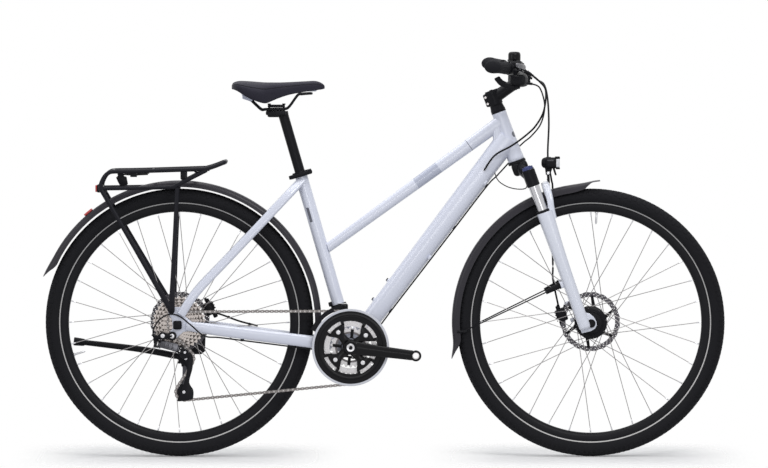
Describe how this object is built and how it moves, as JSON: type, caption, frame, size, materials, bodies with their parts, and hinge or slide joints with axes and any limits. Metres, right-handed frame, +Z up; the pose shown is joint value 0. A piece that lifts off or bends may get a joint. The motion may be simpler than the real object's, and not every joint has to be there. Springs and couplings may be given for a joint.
{
  "type": "trekking bike",
  "caption": "Step-through trekking bike with suspension fork, mudguards, rack, lights, disc brakes, kickstand and derailleur gears, without pedals",
  "frame": {"origin": "on the ground under the middle of the bike's length, in its plane of symmetry", "axes": "+X forwards, +Y to the bike's left, +Z up"},
  "size_m": [1.8195, 0.6302, 1.0822],
  "materials": {
    "tyre": "black tyre rubber, matt",
    "black_alloy": "black anodised aluminium, satin",
    "steel": "bare and plated steel, satin",
    "black_steel": "black lacquered steel wire",
    "frame_paint": "white gloss paint",
    "saddle": "black grained synthetic cover",
    "white_plastic": "pale grey plastic",
    "guard": "dark grey plastic, satin",
    "red_plastic": "clear red plastic",
    "blue_alloy": "blue anodised aluminium",
    "grip": "black rubber, matt",
    "black_plastic": "black plastic, satin",
    "hose": "black sleeve, smooth"
  },
  "bodies": {
    "frame": {"frame": "frame_paint", "seat_clamp": "black_alloy", "rack": "black_alloy", "rear_mudguard": "guard", "tail_light": "red_plastic", "kickstand_bracket": "black_alloy", "bottom_bracket": "black_alloy", "rear_axle": "black_alloy", "rear_caliper": "black_alloy", "rear_brake_hose": "hose", "rear_shift_cable": "hose", "chain": "steel", "derailleur_base": "black_alloy", "front_derailleur_body": "black_alloy"},
    "steering": {"fork_crown": "black_alloy", "headset_cover": "black_plastic", "stem": "black_alloy", "handlebar": "black_alloy", "grip_left": "grip", "grip_right": "grip", "control_left": "black_plastic", "control_right": "black_plastic", "bell": "black_plastic"},
    "fork_slider": {"fork_lowers": "frame_paint", "front_mudguard": "guard", "front_caliper": "black_alloy", "front_axle": "black_alloy", "front_brake_hose": "hose"},
    "front_wheel": {"front_tyre": "tyre", "front_rim": "black_alloy", "front_hub": "steel", "front_disc": "steel"},
    "rear_wheel": {"rear_tyre": "tyre", "rear_rim": "black_alloy", "rear_hub": "steel", "rear_disc": "steel"},
    "cogs": {"cassette": "steel"},
    "cranks": {"crank_right": "black_alloy", "crank_left": "black_alloy", "chainring_large": "steel", "inner_chainrings": "steel", "chainguard": "black_plastic"},
    "seat": {"seatpost": "black_alloy", "saddle_rails": "black_steel", "saddle_base": "white_plastic", "saddle_cover": "saddle"},
    "seat_lever": {"seat_clamp_lever": "black_alloy"},
    "stand": {"kickstand_leg": "black_alloy"},
    "left_brake": {"brake_lever_left": "black_alloy"},
    "right_brake": {"brake_lever_right": "black_alloy"},
    "left_shifter": {"shift_lever_left": "black_plastic"},
    "right_shifter": {"shift_lever_right": "black_plastic"},
    "knob": {"preload_knob": "blue_alloy"},
    "lamp": {"headlight": "black_plastic"},
    "link": {"derailleur_link": "black_alloy"},
    "knuckle": {"derailleur_knuckle": "black_alloy"},
    "cage": {"derailleur_cage": "black_alloy"},
    "upper_pulley": {"guide_pulley": "black_plastic"},
    "lower_pulley": {"tension_pulley": "black_plastic"},
    "front_cage": {"front_derailleur_cage": "steel"}
  },
  "joints": [
    {"name": "steering", "type": "hinge", "parent": "frame", "child": "steering", "pos_m": [0.35323, 0, 0.79008], "axis": [-0.342, 0, 0.9397], "range_deg": [-60, 60], "deforming": ["rear_brake_hose", "rear_shift_cable"]},
    {"name": "fork_travel", "type": "slide", "parent": "steering", "child": "fork_slider", "axis": [-0.342, 0, 0.9397], "range_m": [0, 0.05], "stiffness_N_per_m": 7000, "springref_m": -0.01, "deforming": ["front_brake_hose"]},
    {"name": "front_wheel_spin", "type": "hinge", "parent": "fork_slider", "child": "front_wheel", "pos_m": [0.552, 0, 0.358], "axis": [0, 1, 0], "continuous": true},
    {"name": "rear_wheel_spin", "type": "hinge", "parent": "frame", "child": "rear_wheel", "pos_m": [-0.546, 0, 0.358], "axis": [0, 1, 0], "continuous": true},
    {"name": "crank_spin", "type": "hinge", "parent": "frame", "child": "cranks", "pos_m": [-0.089, 0, 0.294], "axis": [0, 1, 0], "continuous": true, "deforming": ["chain"]},
    {"name": "cassette_spin", "type": "hinge", "parent": "frame", "child": "cogs", "pos_m": [-0.546, 0, 0.358], "axis": [0, 1, 0], "continuous": true, "deforming": ["chain"]},
    {"name": "seat_height", "type": "slide", "parent": "frame", "child": "seat", "axis": [-0.279, 0, 0.9603], "range_m": [-0.12, 0.08]},
    {"name": "seat_lever_turn", "type": "hinge", "parent": "frame", "child": "seat_lever", "pos_m": [-0.19786, -0.025, 0.76118], "axis": [-0.279, 0, 0.9603], "range_deg": [0, 160]},
    {"name": "stand_turn", "type": "hinge", "parent": "frame", "child": "stand", "pos_m": [-0.517, 0.1038, 0.284], "axis": [0, -0.9668, -0.2554], "range_deg": [0, 95]},
    {"name": "left_brake_pull", "type": "hinge", "parent": "steering", "child": "left_brake", "pos_m": [0.36069, 0.17604, 1.03888], "axis": [0.052, -0.1657, 0.9848], "range_deg": [0, 18], "stiffness_Nm_per_rad": 0.8, "springref_deg": -11.46},
    {"name": "right_brake_pull", "type": "hinge", "parent": "steering", "child": "right_brake", "pos_m": [0.36069, -0.17604, 1.03888], "axis": [-0.052, -0.1657, -0.9848], "range_deg": [0, 18], "stiffness_Nm_per_rad": 0.8, "springref_deg": -11.46},
    {"name": "left_shift_push", "type": "hinge", "parent": "steering", "child": "left_shifter", "pos_m": [0.35173, 0.16451, 0.98816], "axis": [-0.052, 0.1657, -0.9848], "range_deg": [0, 25], "stiffness_Nm_per_rad": 0.2, "springref_deg": -11.46},
    {"name": "right_shift_push", "type": "hinge", "parent": "steering", "child": "right_shifter", "pos_m": [0.35173, -0.16451, 0.98816], "axis": [0.052, 0.1657, 0.9848], "range_deg": [0, 25], "stiffness_Nm_per_rad": 0.2, "springref_deg": -11.46},
    {"name": "knob_turn", "type": "hinge", "parent": "steering", "child": "knob", "pos_m": [0.38287, -0.065, 0.76713], "axis": [-0.342, 0, 0.9397], "range_deg": [-180, 180]},
    {"name": "lamp_tilt", "type": "hinge", "parent": "fork_slider", "child": "lamp", "pos_m": [0.43766, 0, 0.75695], "axis": [0, 1, 0], "range_deg": [-15, 15]},
    {"name": "link_swing", "type": "hinge", "parent": "frame", "child": "link", "pos_m": [-0.597, -0.078, 0.303], "axis": [0.2338, 0.4109, 0.8812], "range_deg": [-9.8, 36.7], "deforming": ["chain", "rear_shift_cable"]},
    {"name": "knuckle_swing", "type": "hinge", "parent": "link", "child": "knuckle", "pos_m": [-0.548, -0.078, 0.29], "axis": [0.2338, 0.4109, 0.8812], "range_deg": [-36.7, 9.8], "deforming": ["chain"]},
    {"name": "cage_swing", "type": "hinge", "parent": "knuckle", "child": "cage", "pos_m": [-0.531, -0.0541, 0.278], "axis": [0, 1, 0], "range_deg": [-25, 35], "stiffness_Nm_per_rad": 2, "deforming": ["chain"]},
    {"name": "upper_pulley_spin", "type": "hinge", "parent": "cage", "child": "upper_pulley", "pos_m": [-0.528, -0.0541, 0.265], "axis": [0, 1, 0], "continuous": true, "deforming": ["chain"]},
    {"name": "lower_pulley_spin", "type": "hinge", "parent": "cage", "child": "lower_pulley", "pos_m": [-0.533, -0.0541, 0.175], "axis": [0, 1, 0], "continuous": true, "deforming": ["chain"]},
    {"name": "front_cage_shift", "type": "slide", "parent": "frame", "child": "front_cage", "axis": [0, 1, 0], "range_m": [0, 0.0145], "deforming": ["chain"]}
  ],
  "couplings": [
    {"joint": "cassette_spin", "follows": "crank_spin", "ratio": 3.2},
    {"joint": "upper_pulley_spin", "follows": "crank_spin", "ratio": -4.3636},
    {"joint": "lower_pulley_spin", "follows": "crank_spin", "ratio": 4.3636},
    {"joint": "knuckle_swing", "follows": "link_swing", "ratio": -1}
  ]
}
